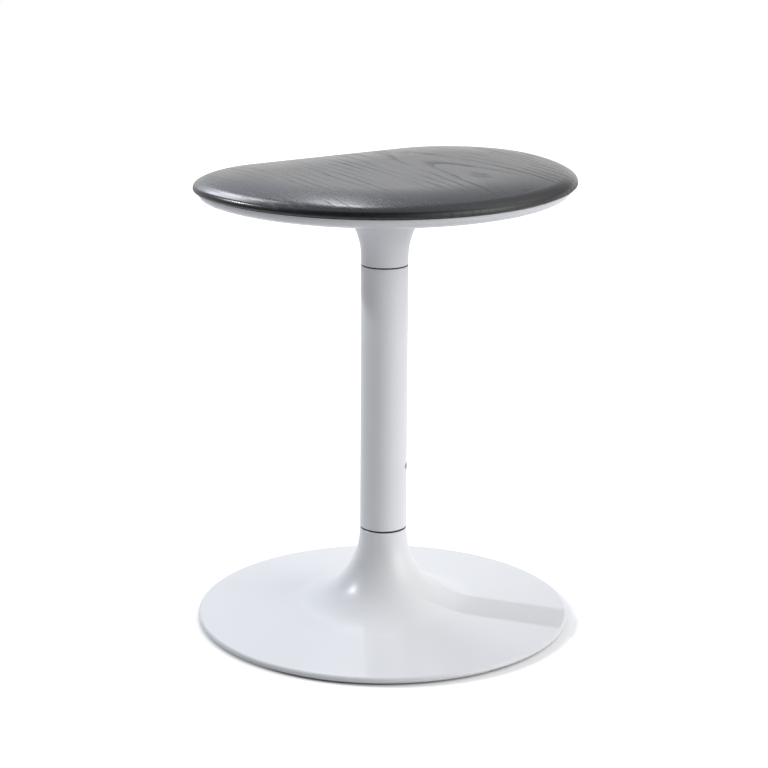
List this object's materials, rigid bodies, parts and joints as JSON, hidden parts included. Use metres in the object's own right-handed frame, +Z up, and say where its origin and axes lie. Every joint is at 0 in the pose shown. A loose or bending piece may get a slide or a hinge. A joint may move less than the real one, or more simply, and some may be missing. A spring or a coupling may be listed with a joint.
{
  "type": "low stool",
  "caption": "Low swivel stool with a D-shaped black wooden seat on a white dish and neck, a round column and a trumpet-shaped pedestal base.",
  "frame": {"origin": "on the floor under the column, on the swivel axis", "axes": "+Z up along the column, +Y towards the seat's straight back edge, -Y towards its round front, +X to the seat's side"},
  "size_m": [0.393, 0.3826, 0.472],
  "materials": {
    "stained_ash": "black stained ash, satin lacquer, open grain",
    "white_paint": "satin powder coat, cool white",
    "black_plastic": "turned acetal, matte black",
    "black_rubber": "matte black rubber",
    "turned_steel": "turned, ground",
    "zinc_steel": "bright zinc plate",
    "spring_steel": "phosphated, dark",
    "raw_plate": "hot-rolled plate, oiled",
    "bronze": "sintered bronze",
    "brass": "machined brass"
  },
  "bodies": {
    "pedestal": {"column_tube": "white_paint", "upper_bush": "black_plastic", "thrust_washer": "bronze", "lower_bush": "black_plastic", "set_screw": "spring_steel", "column_plug": "turned_steel", "locating_pin": "turned_steel", "joint_ring": "black_plastic", "base": "white_paint", "tie_bolt": "zinc_steel", "tie_lock_washer": "spring_steel", "tie_washer": "zinc_steel", "ballast_plate": "raw_plate", "ballast_screws": "zinc_steel", "floor_ring": "black_rubber"},
    "seat": {"seat_board": "stained_ash", "seat_inserts": "brass", "seat_gasket": "black_rubber", "seat_shell": "white_paint", "seat_screws": "zinc_steel", "spindle": "turned_steel", "spindle_key": "turned_steel", "spindle_screw": "zinc_steel", "spindle_washer": "zinc_steel", "retaining_washer": "zinc_steel", "circlip": "spring_steel"}
  },
  "joints": [
    {"name": "seat_swivel", "type": "hinge", "parent": "pedestal", "child": "seat", "pos_m": [0, 0, 0.374], "axis": [0, 0, 1], "continuous": true}
  ]
}
